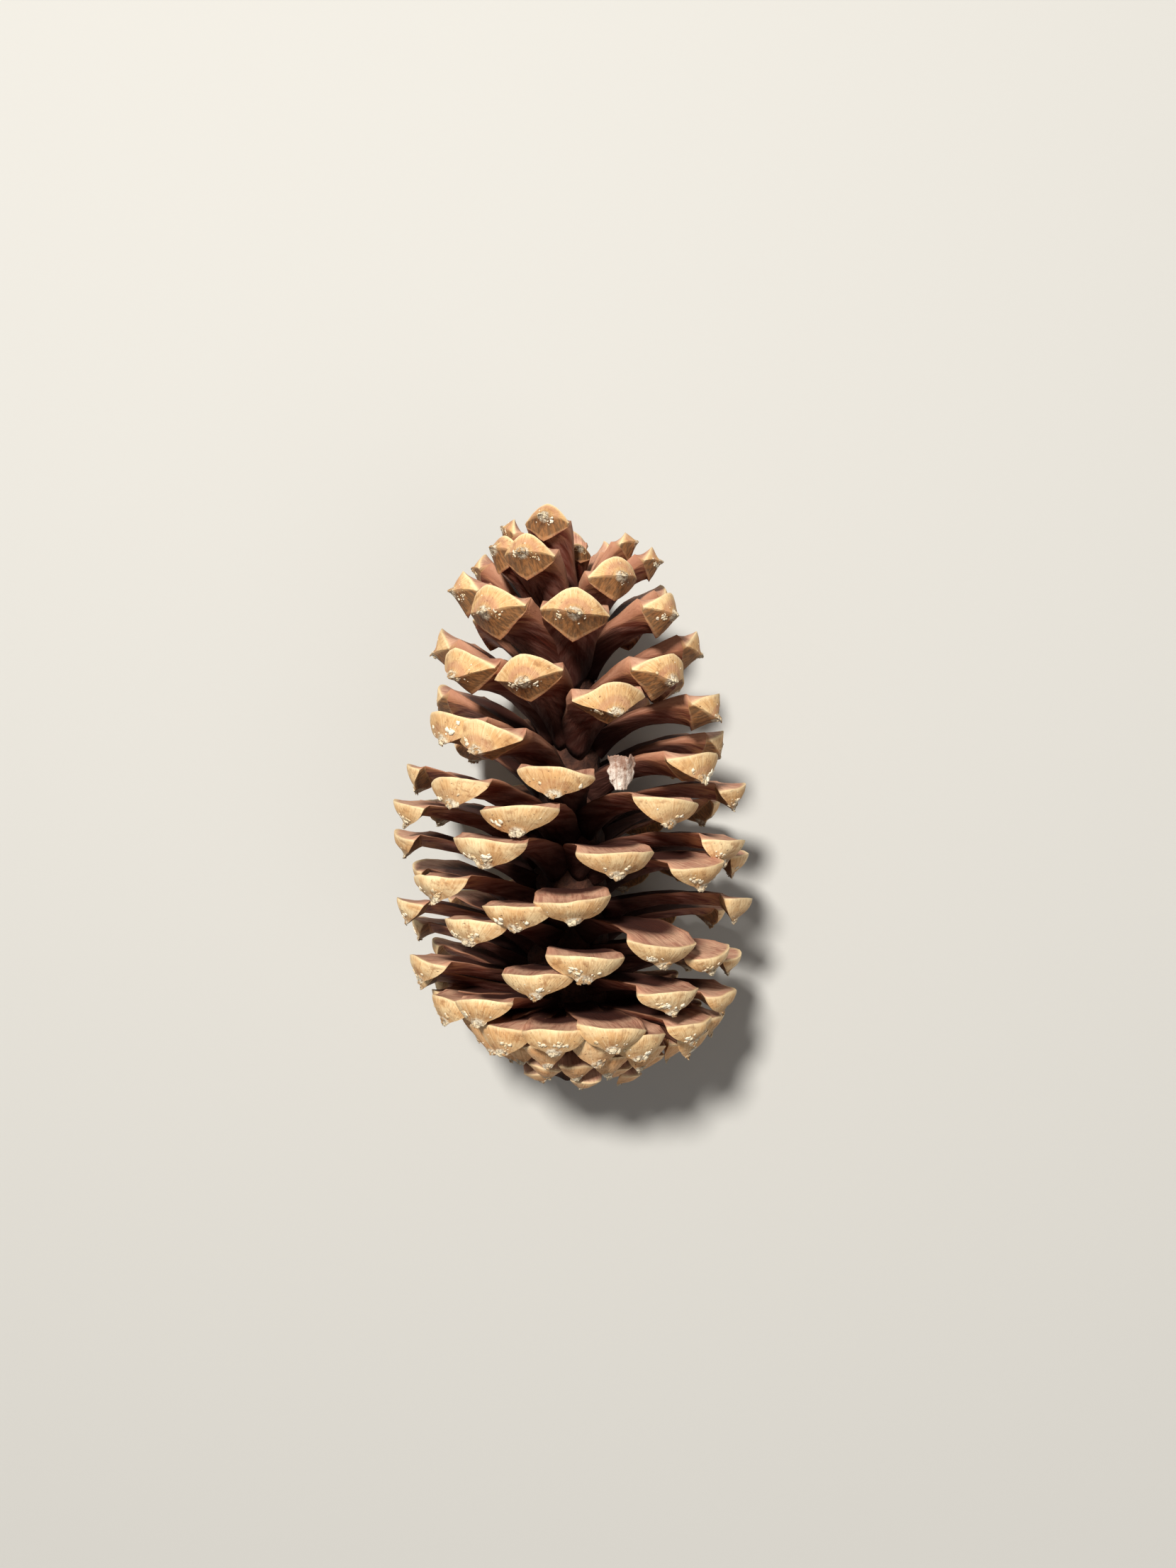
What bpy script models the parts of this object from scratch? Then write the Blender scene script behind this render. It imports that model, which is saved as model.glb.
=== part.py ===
"""An open pine cone lying on its side, with the papery wing of a shed seed caught between its scales.

Metres, +Z up. The cone's axis runs along +Y with the apex at +Y, and the cone lies on the tips of its
scales with the origin under the middle of it. Everything is first made in the cone's own frame, where
the axis is exactly +Y, the base is at height 0 and azimuths are counted from +Z towards +X.
"""

from math import atan2, cos, degrees, pi, radians, sin, sqrt, tan

import bmesh
import bpy
from mathutils import Matrix, Vector
from random import Random

# The growth spiral: scales from the base to the apex, each one golden angle on from the last.
SCALES = 148
GOLDEN_ANGLE = 137.508
FIRST_AZIMUTH = -37.2

# Along the spiral, base to apex: number of the scale, height of its umbo, distance of the umbo from the
# axis, width of the head, and how far head and root rise above square to the axis, in degrees.
STATIONS = (
    (0, 0.0030, 0.0070, 0.0052, -38, -25),
    (26, 0.0086, 0.0163, 0.0074, -13, -12),
    (46, 0.0130, 0.0234, 0.0098, 4, 4),
    (61, 0.0192, 0.0260, 0.0113, 6, 13),
    (76, 0.0290, 0.0274, 0.0120, 3, 21),
    (91, 0.0408, 0.0277, 0.0123, 2, 26),
    (106, 0.0551, 0.0270, 0.0122, 9, 34),
    (121, 0.0731, 0.0236, 0.0114, 24, 47),
    (134, 0.0887, 0.0172, 0.0088, 42, 62),
    (143, 0.0955, 0.0102, 0.0066, 64, 78),
    (147, 0.0925, 0.0045, 0.0050, 78, 84),
)
# The scales hang lower on one side, by HANG at their full reach, because the cone grew unevenly.
HANG = 0.0039
HANG_AZIMUTH = 58.6
FULL_REACH = 0.0270
# Where the umbos that face the camera are seen, by number of the scale: pixels across and down in the
# photograph, read off by eye. From them comes how far each of these scales grew aside of the spiral.
PHOTO_WIDTH = 1659
PHOTO_HEIGHT = 2212
UMBO_SEEN_AT = {
    142: (897.5, 767.5), 139: (765, 727.5), 134: (877.5, 812.5), 131: (735, 780), 126: (812.5, 867.5),
    123: (680, 865), 121: (952.5, 962.5), 118: (735, 965), 115: (640, 957.5), 113: (865, 1007.5),
    110: (675, 1062.5), 107: (627.5, 1047.5), 105: (782.5, 1122.5), 102: (637.5, 1135), 100: (945, 1162.5),
    97: (727.5, 1175), 95: (1020, 1217.5), 92: (870, 1235), 89: (685, 1220), 87: (985, 1250),
    84: (805, 1300), 81: (615, 1270), 79: (935, 1360), 76: (725, 1310), 71: (827.5, 1382.5),
    68: (662.5, 1330), 66: (950, 1427.5), 63: (755, 1405), 58: (865, 1480), 50: (780, 1485),
}
# The camera in the cone's own frame: aside of the axis, up along it and over it, its turn in degrees.
CAMERA_SIDE = 0.0030
CAMERA_HEIGHT_ON_AXIS = 0.0527
CAMERA_OVER_AXIS = 0.2036
CAMERA_TURN = 0.3
LENS = 27.34
SENSOR = 36.0
# Heads that tilt further than their neighbours, in degrees.
GROWN_TILTED = {84: -3, 79: -9, 71: 3}
# Unevenness of all the others: the spread of a scale's azimuth, height and width.
SEED = 51
AZIMUTH_SPREAD = 4.0
HEIGHT_SPREAD = 0.0007
WIDTH_SPREAD = 0.05

# The woody axis: height and radius, from the broken stalk at the base to the tip under the crown.
AXIS_PROFILE = (
    (0.0022, 0.0030), (0.0044, 0.0034), (0.0060, 0.0085), (0.0130, 0.0115), (0.0200, 0.0105),
    (0.0330, 0.0080), (0.0600, 0.0062), (0.0780, 0.0048), (0.0880, 0.0022),
)
AXIS_SIDES = 8
# The blades' roots end inside the axis, at this share of its radius.
ROOT_SHARE = 0.62

# One scale, for a head as wide as HEAD_WIDTH; the rest of it grows with the head.
HEAD_WIDTH = 0.0123
HEAD_LENGTH = 0.0052
RIM_BACK = 0.0009
RIM_SIDE = 0.0032
CORNER_BACK = 0.0043
KEEL_SIDE = 0.0034
KEEL_SHARE = 0.8
KEEL_BACK = 0.0003
ROOT_WIDTH = 0.42
BLADE_EDGE = 0.00035
BLADE_EDGE_RISE = 0.0005
BLADE_TOP = 0.0001
BLADE_UNDER = 0.0014
# Lengthwise steps of the blade, from the scale with that number on.
BLADE_STEPS = ((0, 1), (49, 2), (65, 3))

# The form of the head along the spiral, for a head as wide as HEAD_WIDTH: number of the scale, how far
# the umbo lies behind and under the rim, the same for the neck, how far the corners lie under the rim, and
# how deep the blade's sides are at the neck.
# Low wedges on the closed base, half-moons on the open scales, thick four-sided knobs near the apex.
FORMS = (
    (0, 0.0045, 0.0082, 0.0056, 0.0055, 0.0022, 0.0),
    (30, 0.0042, 0.0078, 0.0056, 0.0050, 0.0020, 0.0),
    (52, 0.0028, 0.0041, 0.0053, 0.0022, 0.0006, 0.0),
    (98, 0.0028, 0.0037, 0.0052, 0.0018, 0.0004, 0.0),
    (112, 0.0016, 0.0046, 0.0060, 0.0048, 0.0014, 0.0018),
    (126, 0.0010, 0.0048, 0.0068, 0.0064, 0.0022, 0.0032),
    (147, 0.0009, 0.0046, 0.0068, 0.0062, 0.0022, 0.0030),
)

# How the cone lies, in degrees: apex up by APEX_UP, turned about its axis by ROLL, with small flats of
# FLAT_DEPTH trimmed on its lowest tips, which stand round its weight.
APEX_UP = 1.5
ROLL = 5.0
FLAT_DEPTH = 0.0004
# Faces nearer than this to one plane, in degrees, count as one where the scales meet.
ONE_PLANE = 2.0

# The seed wing: a thin curved flake standing on a scale right of the middle.
WING_WIDTH = 0.0046
WING_LENGTH = 0.0052
WING_THICKNESS = 0.0006
WING_AZIMUTH = 22.0
WING_REACH = 0.0215
WING_HEIGHT = 0.0518

WOOD_COLOUR = (0.42, 0.24, 0.12, 1.0)
WING_COLOUR = (0.62, 0.52, 0.44, 1.0)


def clear_scene():
    for old in list(bpy.data.objects):
        bpy.data.objects.remove(old, do_unlink=True)


def material(name, colour, roughness):
    made = bpy.data.materials.new(name)
    made.use_nodes = True
    shader = made.node_tree.nodes["Principled BSDF"]
    shader.inputs["Base Color"].default_value = colour
    shader.inputs["Roughness"].default_value = roughness
    shader.inputs["Metallic"].default_value = 0.0
    return made


def smooth_read(stations, number, column):
    """Reads a column between stations along a curve with no corner at a station."""
    last = len(stations) - 2
    at = max(i for i in range(last + 1) if i == 0 or stations[i][0] <= number)
    (x0, y0), (x1, y1) = ((stations[i][0], stations[i][column]) for i in (at, at + 1))

    def slope(i):
        low, high = stations[max(i - 1, 0)], stations[min(i + 1, last + 1)]
        return (high[column] - low[column]) / (high[0] - low[0])

    span = x1 - x0
    t = (number - x0) / span
    return (
        y0 * (1 + 2 * t) * (1 - t) ** 2
        + slope(at) * span * t * (1 - t) ** 2
        + y1 * t * t * (3 - 2 * t)
        + slope(at + 1) * span * t * t * (t - 1)
    )


def axis_radius(height):
    """Radius of the woody axis at a height, straight between the profile's points."""
    for (h0, r0), (h1, r1) in zip(AXIS_PROFILE, AXIS_PROFILE[1:]):
        if height <= h1:
            return r0 + (r1 - r0) * max(0.0, height - h0) / (h1 - h0)
    return AXIS_PROFILE[-1][1]


def hang_of(azimuth, reach):
    """How much lower a scale hangs at an azimuth than the even spiral has it."""
    return HANG * cos(radians(azimuth - HANG_AZIMUTH)) * reach / FULL_REACH


def grown_aside(number, height, reach):
    """How far a scale stands aside of the spiral, to a degree and a tenth of a millimetre: the line of sight
    to its umbo is met with the cylinder of the umbo's reach."""
    across, down = UMBO_SEEN_AT[number]
    focal = LENS / SENSOR * PHOTO_HEIGHT
    right, ahead = (across - PHOTO_WIDTH / 2) / focal, (PHOTO_HEIGHT / 2 - down) / focal
    turn = radians(CAMERA_TURN)
    right, ahead = cos(turn) * right - sin(turn) * ahead, sin(turn) * right + cos(turn) * ahead
    square = right * right + 1
    middle = CAMERA_SIDE * right - CAMERA_OVER_AXIS
    rest = CAMERA_SIDE ** 2 + CAMERA_OVER_AXIS ** 2 - reach ** 2
    sight = (-middle - sqrt(max(0.0, middle ** 2 - square * rest))) / square
    azimuth = degrees(atan2(CAMERA_SIDE + sight * right, CAMERA_OVER_AXIS - sight))
    aside = (azimuth - FIRST_AZIMUTH - number * GOLDEN_ANGLE + 180) % 360 - 180
    above = CAMERA_HEIGHT_ON_AXIS + sight * ahead - height + hang_of(azimuth, reach)
    return round(aside), round(above, 4)


def scale_places():
    """One dictionary per scale, placed by the spiral with a little seeded unevenness."""
    uneven = Random(SEED)
    places = []
    for number in range(SCALES):
        height, reach, width, head, root = (smooth_read(STATIONS, number, c) for c in range(1, 6))
        drawn = (uneven.uniform(-1, 1) * AZIMUTH_SPREAD, uneven.uniform(-1, 1) * HEIGHT_SPREAD)
        aside, above = grown_aside(number, height, reach) if number in UMBO_SEEN_AT else drawn
        azimuth = FIRST_AZIMUTH + number * GOLDEN_ANGLE + aside
        height += above
        width *= 1 + uneven.uniform(-1, 1) * WIDTH_SPREAD
        hang = hang_of(azimuth, reach)
        places.append(
            {
                "azimuth": azimuth,
                "height": height - hang,
                "reach": reach,
                "width": width,
                "head": radians(head + GROWN_TILTED.get(number, 0)) - atan2(hang, reach),
                "root": radians(root) - atan2(hang, reach),
                "form": [smooth_read(FORMS, number, c) for c in range(1, 7)],
                "steps": [steps for first, steps in BLADE_STEPS if number >= first][-1],
            }
        )
    return places


def scale_mesh(place):
    """The blade from its root in the axis to the neck, and the thick wedge of a head with its umbo."""
    size = place["width"] / HEAD_WIDTH
    head = place["head"]
    out = Vector((cos(head), sin(head)))
    up = Vector((-sin(head), cos(head)))
    umbo_back, umbo_drop, neck_back, neck_drop, corner_drop, side_depth = place["form"]
    rim = Vector((place["reach"], place["height"])) + (out * umbo_back + up * umbo_drop) * size
    neck = rim - out * HEAD_LENGTH * size

    # The centre line falls from the neck back to the axis, steeper towards the root.
    samples = 12
    root_radius = min(axis_radius(max(0.0, neck.y - 0.006)) * ROOT_SHARE, neck.x - 0.003)
    line = [neck.copy()]
    angles = [head]
    step = (neck.x - root_radius) / samples
    for k in range(samples):
        share = (k + 0.5) / samples
        angle = head + (place["root"] - head) * share
        line.append(line[-1] - Vector((step, step * tan(angle))))
        angles.append(head + (place["root"] - head) * (k + 1) / samples)

    half = place["width"] / 2
    points = []

    def add(radius, side, height):
        points.append(Vector((side, height, radius)))
        return len(points) - 1

    def ring(share):
        """Six points round the blade, share 0 at the neck and 1 at the root."""
        centre = line[round(share * samples)]
        angle = angles[round(share * samples)]
        rise = Vector((-sin(angle), cos(angle)))
        wide = half * (0.94 + (ROOT_WIDTH - 0.94) * share ** 1.3)
        under = BLADE_UNDER + (neck_drop * size - BLADE_UNDER) * (1 - share) ** 3
        rise_high = (BLADE_EDGE_RISE + BLADE_EDGE) * size
        rise_low = (BLADE_EDGE_RISE - BLADE_EDGE - side_depth * (1 - share) ** 1.5) * size
        rows = (
            (-wide, rise_high), (0, BLADE_TOP), (wide, rise_high),
            (wide, rise_low), (0, -under), (-wide, rise_low),
        )
        return [add(centre.x + rise.x * n, side, centre.y + rise.y * n) for side, n in rows]

    rings = [ring(1 - k / place["steps"]) for k in range(place["steps"] + 1)]

    def on_head(back, side, drop):
        spot = rim - out * back * size - up * drop * size
        return add(spot.x, side * size, spot.y)

    corner = HEAD_WIDTH / 2
    rim_row = [
        on_head(CORNER_BACK, -corner, corner_drop),
        on_head(RIM_BACK, -RIM_SIDE, 0),
        on_head(0, 0, 0),
        on_head(RIM_BACK, RIM_SIDE, 0),
        on_head(CORNER_BACK, corner, corner_drop),
    ]
    keel_back = umbo_back + KEEL_BACK
    keel_drop = corner_drop + (umbo_drop - corner_drop) * KEEL_SHARE
    umbo = on_head(umbo_back, 0, umbo_drop)
    keel_left = on_head(keel_back, -KEEL_SIDE, keel_drop)
    keel_right = on_head(keel_back, KEEL_SIDE, keel_drop)

    faces = [tuple(reversed(rings[0]))]
    for low, high in zip(rings, rings[1:]):
        for k in range(6):
            n = (k + 1) % 6
            faces.append((low[k], low[n], high[n], high[k]))
    top_left, top, top_right, low_right, low, low_left = rings[-1]
    points[low] -= Vector((0, out.y, out.x)) * (neck_back - HEAD_LENGTH) * size
    faces += [
        (top_left, top, rim_row[1], rim_row[0]),
        (top, rim_row[2], rim_row[1]),
        (top, rim_row[3], rim_row[2]),
        (top, top_right, rim_row[4], rim_row[3]),
        (rim_row[0], rim_row[1], keel_left),
        (rim_row[1], umbo, keel_left),
        (rim_row[1], rim_row[2], umbo),
        (rim_row[2], rim_row[3], umbo),
        (rim_row[3], keel_right, umbo),
        (rim_row[3], rim_row[4], keel_right),
        (rim_row[4], low_right, keel_right),
        (low_right, low, keel_right),
        (low, umbo, keel_right),
        (low, keel_left, umbo),
        (low, low_left, keel_left),
        (low_left, rim_row[0], keel_left),
        (top_right, low_right, rim_row[4]),
        (low_left, top_left, rim_row[0]),
    ]
    mesh = bpy.data.meshes.new("scale")
    mesh.from_pydata(points, [], faces)
    turn = Matrix.Rotation(radians(place["azimuth"]), 4, "Y")
    mesh.transform(turn)
    shape = bmesh.new()
    shape.from_mesh(mesh)
    bmesh.ops.triangulate(shape, faces=shape.faces)
    bmesh.ops.recalc_face_normals(shape, faces=shape.faces)
    shape.to_mesh(mesh)
    shape.free()
    return mesh


def axis_mesh():
    """The woody axis, turned from its profile."""
    shape = bmesh.new()
    rings = []
    for height, radius in AXIS_PROFILE:
        turns = (2 * pi * k / AXIS_SIDES for k in range(AXIS_SIDES))
        rings.append([shape.verts.new((radius * sin(a), height, radius * cos(a))) for a in turns])
    for low, high in zip(rings, rings[1:]):
        for k in range(AXIS_SIDES):
            n = (k + 1) % AXIS_SIDES
            shape.faces.new((low[k], low[n], high[n], high[k]))
    shape.faces.new(rings[0])
    shape.faces.new(rings[-1])
    bmesh.ops.recalc_face_normals(shape, faces=shape.faces)
    mesh = bpy.data.meshes.new("pine_cone")
    shape.to_mesh(mesh)
    shape.free()
    return mesh


def keep_outer_shell(mesh):
    """Drops what the union leaves inside or beside the one large body."""
    shape = bmesh.new()
    shape.from_mesh(mesh)
    bmesh.ops.remove_doubles(shape, verts=shape.verts, dist=2e-6)
    bmesh.ops.dissolve_degenerate(shape, edges=shape.edges, dist=2e-6)
    bmesh.ops.dissolve_limit(shape, angle_limit=radians(ONE_PLANE), verts=shape.verts, edges=shape.edges)
    bmesh.ops.triangulate(shape, faces=shape.faces)
    left = set(shape.faces)
    shells = []
    while left:
        shell = []
        front = [left.pop()]
        while front:
            face = front.pop()
            shell.append(face)
            for edge in face.edges:
                for other in edge.link_faces:
                    if other in left:
                        left.remove(other)
                        front.append(other)
        shells.append(shell)
    shells.sort(key=len)
    loose = [face for shell in shells[:-1] for face in shell]
    bmesh.ops.delete(shape, geom=loose, context="FACES")
    shape.to_mesh(mesh)
    shape.free()


def lay_down():
    """The turn that takes the cone's own frame to the way it lies."""
    return Matrix.Rotation(radians(APEX_UP), 4, "X") @ Matrix.Rotation(radians(ROLL), 4, "Y")


def trim_flats(mesh, floor):
    """Cuts the lowest tips flat at the height of the floor."""
    shape = bmesh.new()
    shape.from_mesh(mesh)
    cut = bmesh.ops.bisect_plane(
        shape,
        geom=shape.verts[:] + shape.edges[:] + shape.faces[:],
        plane_co=(0, 0, floor),
        plane_no=(0, 0, -1),
        clear_outer=True,
    )
    edges = [item for item in cut["geom_cut"] if isinstance(item, bmesh.types.BMEdge)]
    filled = bmesh.ops.holes_fill(shape, edges=[e for e in edges if e.is_boundary], sides=0)
    bmesh.ops.triangulate(shape, faces=filled["faces"])
    shape.to_mesh(mesh)
    shape.free()


def wing_mesh():
    """A thin flake with a ragged upper end, bowed across its width."""
    columns, rows = 4, 5
    ragged = Random(SEED + 1)
    grid = []
    for row in range(rows + 1):
        along = row / rows
        half = WING_WIDTH / 2 * (0.55 + 0.45 * sin(pi * min(1.0, along * 1.15) * 0.62))
        line = []
        for column in range(columns + 1):
            across = 2 * column / columns - 1
            lift = WING_LENGTH * along
            if row == rows:
                lift += ragged.uniform(-1, 1) * WING_LENGTH * 0.08
            bow = 0.0007 * (1 - across * across) + 0.0006 * along * along
            line.append(Vector((across * half, lift, bow)))
        grid.append(line)
    shape = bmesh.new()
    sheets = []
    for offset in (0.0, -WING_THICKNESS):
        sheets.append([[shape.verts.new(spot + Vector((0, 0, offset))) for spot in line] for line in grid])
    front, back = sheets
    for r in range(rows):
        for c in range(columns):
            for sheet in sheets:
                a, b, d, e = sheet[r][c], sheet[r][c + 1], sheet[r + 1][c + 1], sheet[r + 1][c]
                shape.faces.new((a, b, d))
                shape.faces.new((a, d, e))
    loop = [(0, c) for c in range(columns)] + [(r, columns) for r in range(rows)]
    loop += [(rows, c) for c in range(columns, 0, -1)] + [(r, 0) for r in range(rows, 0, -1)]
    for (r0, c0), (r1, c1) in zip(loop, loop[1:] + loop[:1]):
        shape.faces.new((front[r0][c0], front[r1][c1], back[r1][c1], back[r0][c0]))
    bmesh.ops.triangulate(shape, faces=shape.faces)
    bmesh.ops.recalc_face_normals(shape, faces=shape.faces)
    mesh = bpy.data.meshes.new("seed_wing")
    shape.to_mesh(mesh)
    shape.free()
    mesh.transform(Matrix.Translation((0, WING_HEIGHT, WING_REACH)))
    mesh.transform(Matrix.Rotation(radians(WING_AZIMUTH), 4, "Y"))
    return mesh


def make_cone():
    cone = bpy.data.objects.new("pine_cone", axis_mesh())
    bpy.context.scene.collection.objects.link(cone)
    cone.data.materials.append(material("cone_wood", WOOD_COLOUR, 0.75))
    scales = bpy.data.collections.new("scales")
    bpy.context.scene.collection.children.link(scales)
    for number, place in enumerate(scale_places()):
        scales.objects.link(bpy.data.objects.new(f"scale_{number:03d}", scale_mesh(place)))
    union = cone.modifiers.new("scales", "BOOLEAN")
    union.operation = "UNION"
    union.operand_type = "COLLECTION"
    union.collection = scales
    union.solver = "EXACT"
    fused = bpy.data.meshes.new_from_object(cone.evaluated_get(bpy.context.evaluated_depsgraph_get()))
    cone.modifiers.clear()
    cone.data = fused
    for scale in list(scales.objects):
        bpy.data.objects.remove(scale, do_unlink=True)
    bpy.data.collections.remove(scales)
    keep_outer_shell(fused)
    return cone


def main():
    clear_scene()
    cone = make_cone()
    wing = bpy.data.objects.new("seed_wing", wing_mesh())
    bpy.context.scene.collection.objects.link(wing)
    wing.data.materials.append(material("wing_paper", WING_COLOUR, 0.6))
    for piece in (cone, wing):
        piece.data.transform(lay_down())
    floor = min(v.co.z for v in cone.data.vertices) + FLAT_DEPTH
    trim_flats(cone.data, floor)
    spots = [v.co for v in cone.data.vertices]
    middle = Vector([(min(s[i] for s in spots) + max(s[i] for s in spots)) / 2 for i in range(2)] + [floor])
    for piece in (cone, wing):
        piece.data.transform(Matrix.Translation(-middle))


main()
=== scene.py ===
"""An open pine cone lying on its side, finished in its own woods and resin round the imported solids.

Metres, +Z up, the cone's apex towards +Y. Each scale is first made in the cone's own frame, where the
axis is exactly +Y, the base is at height 0 and azimuths are counted from +Z towards +X.
"""

from math import atan2, cos, degrees, pi, radians, sin, sqrt, tan
from random import Random

import bmesh
import bpy
import numpy as np
from mathutils import Matrix, Vector, noise


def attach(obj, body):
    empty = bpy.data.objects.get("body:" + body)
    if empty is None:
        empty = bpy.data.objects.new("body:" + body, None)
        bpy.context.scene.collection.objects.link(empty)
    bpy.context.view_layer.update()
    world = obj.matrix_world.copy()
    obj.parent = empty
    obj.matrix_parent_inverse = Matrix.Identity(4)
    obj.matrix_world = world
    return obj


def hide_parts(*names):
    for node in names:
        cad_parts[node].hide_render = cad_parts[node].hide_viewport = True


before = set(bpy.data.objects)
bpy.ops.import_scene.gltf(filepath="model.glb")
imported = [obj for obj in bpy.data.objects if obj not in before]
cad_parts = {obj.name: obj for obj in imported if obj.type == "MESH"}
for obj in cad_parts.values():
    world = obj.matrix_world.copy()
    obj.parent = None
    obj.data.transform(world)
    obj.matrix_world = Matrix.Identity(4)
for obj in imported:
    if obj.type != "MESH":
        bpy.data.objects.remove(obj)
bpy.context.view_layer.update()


# The growth spiral. Every scale follows the last by one golden angle, from the closed base to the apex.
# They droop on one side of the cone. Those whose umbos are listed below stand where they are seen, some of
# them well aside of the spiral, and all others are a little uneven.
SCALES = 148
GOLDEN_ANGLE = 137.508
FIRST_AZIMUTH = -37.2
# Number of the scale, height and reach of its umbo, width of the head, rise of head and root in degrees.
STATIONS = (
    (0, 0.0030, 0.0070, 0.0052, -38, -25),
    (26, 0.0086, 0.0163, 0.0074, -13, -12),
    (46, 0.0130, 0.0234, 0.0098, 4, 4),
    (61, 0.0192, 0.0260, 0.0113, 6, 13),
    (76, 0.0290, 0.0274, 0.0120, 3, 21),
    (91, 0.0408, 0.0277, 0.0123, 2, 26),
    (106, 0.0551, 0.0270, 0.0122, 9, 34),
    (121, 0.0731, 0.0236, 0.0114, 24, 47),
    (134, 0.0887, 0.0172, 0.0088, 42, 62),
    (143, 0.0955, 0.0102, 0.0066, 64, 78),
    (147, 0.0925, 0.0045, 0.0050, 78, 84),
)
# The droop: how far a scale of full reach hangs, and the azimuth at which it hangs most.
HANG = 0.0039
HANG_AZIMUTH = 58.6
FULL_REACH = 0.0270
# Where umbos that face the camera are seen, by number of the scale: pixels across and down in the
# photograph, read off. From them comes how far each of these scales grew aside of the spiral.
PHOTO_WIDTH = 1659
PHOTO_HEIGHT = 2212
UMBO_SEEN_AT = {
    142: (897.5, 767.5), 139: (765, 727.5), 134: (877.5, 812.5), 131: (735, 780), 126: (812.5, 867.5),
    123: (680, 865), 121: (952.5, 962.5), 118: (735, 965), 115: (640, 957.5), 113: (865, 1007.5),
    110: (675, 1062.5), 107: (627.5, 1047.5), 105: (782.5, 1122.5), 102: (637.5, 1135), 100: (945, 1162.5),
    97: (727.5, 1175), 95: (1020, 1217.5), 92: (870, 1235), 89: (685, 1220), 87: (985, 1250),
    84: (805, 1300), 81: (615, 1270), 79: (935, 1360), 76: (725, 1310), 71: (827.5, 1382.5),
    68: (662.5, 1330), 66: (950, 1427.5), 63: (755, 1405), 58: (865, 1480), 50: (780, 1485),
}
# The camera in the cone's own frame: aside of the axis, along it and over it, its turn in degrees.
CAMERA_SIDE = 0.0030
CAMERA_HEIGHT_ON_AXIS = 0.0527
CAMERA_OVER_AXIS = 0.2036
CAMERA_TURN = 0.3
LENS = 27.34
SENSOR = 36.0
# Heads that rise or dip more than their neighbours, by number of the scale, in degrees.
GROWN_TILTED = {84: -3, 79: -9, 71: 3}
# Unevenness: the spread of azimuth and height where no umbo is listed, and of the width of every scale.
SEED = 51
AZIMUTH_SPREAD = 4.0
HEIGHT_SPREAD = 0.0007
WIDTH_SPREAD = 0.05
# Form of the head, for a head as wide as HEAD_WIDTH: number of the scale, umbo behind and under the rim,
# neck behind and under the rim, corners under the rim, depth of the blade's sides at the neck.
HEAD_WIDTH = 0.0123
FORMS = (
    (0, 0.0045, 0.0082, 0.0056, 0.0055, 0.0022, 0.0),
    (30, 0.0042, 0.0078, 0.0056, 0.0050, 0.0020, 0.0),
    (52, 0.0028, 0.0041, 0.0053, 0.0022, 0.0006, 0.0),
    (98, 0.0028, 0.0037, 0.0052, 0.0018, 0.0004, 0.0),
    (112, 0.0016, 0.0046, 0.0060, 0.0048, 0.0014, 0.0018),
    (126, 0.0010, 0.0048, 0.0068, 0.0064, 0.0022, 0.0032),
    (147, 0.0009, 0.0046, 0.0068, 0.0062, 0.0022, 0.0030),
)


def smooth_read(stations, number, column):
    """Reads a column between stations along a curve with no corner at a station."""
    last = len(stations) - 2
    at = max(i for i in range(last + 1) if i == 0 or stations[i][0] <= number)
    (x0, y0), (x1, y1) = ((stations[i][0], stations[i][column]) for i in (at, at + 1))

    def slope(i):
        low, high = stations[max(i - 1, 0)], stations[min(i + 1, last + 1)]
        return (high[column] - low[column]) / (high[0] - low[0])

    span = x1 - x0
    t = (number - x0) / span
    return (
        y0 * (1 + 2 * t) * (1 - t) ** 2
        + slope(at) * span * t * (1 - t) ** 2
        + y1 * t * t * (3 - 2 * t)
        + slope(at + 1) * span * t * t * (t - 1)
    )


def hang_of(azimuth, reach):
    """How much lower a scale hangs at an azimuth than the even spiral has it."""
    return HANG * cos(radians(azimuth - HANG_AZIMUTH)) * reach / FULL_REACH


def grown_aside(number, height, reach):
    """How far a scale stands aside of the spiral, to a degree and a tenth of a millimetre: the line of sight
    to its umbo is met with the cylinder of the umbo's reach."""
    across, down = UMBO_SEEN_AT[number]
    focal = LENS / SENSOR * PHOTO_HEIGHT
    right, ahead = (across - PHOTO_WIDTH / 2) / focal, (PHOTO_HEIGHT / 2 - down) / focal
    turn = radians(CAMERA_TURN)
    right, ahead = cos(turn) * right - sin(turn) * ahead, sin(turn) * right + cos(turn) * ahead
    square = right * right + 1
    middle = CAMERA_SIDE * right - CAMERA_OVER_AXIS
    rest = CAMERA_SIDE ** 2 + CAMERA_OVER_AXIS ** 2 - reach ** 2
    sight = (-middle - sqrt(max(0.0, middle ** 2 - square * rest))) / square
    azimuth = degrees(atan2(CAMERA_SIDE + sight * right, CAMERA_OVER_AXIS - sight))
    aside = (azimuth - FIRST_AZIMUTH - number * GOLDEN_ANGLE + 180) % 360 - 180
    above = CAMERA_HEIGHT_ON_AXIS + sight * ahead - height + hang_of(azimuth, reach)
    return round(aside), round(above, 4)


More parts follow.
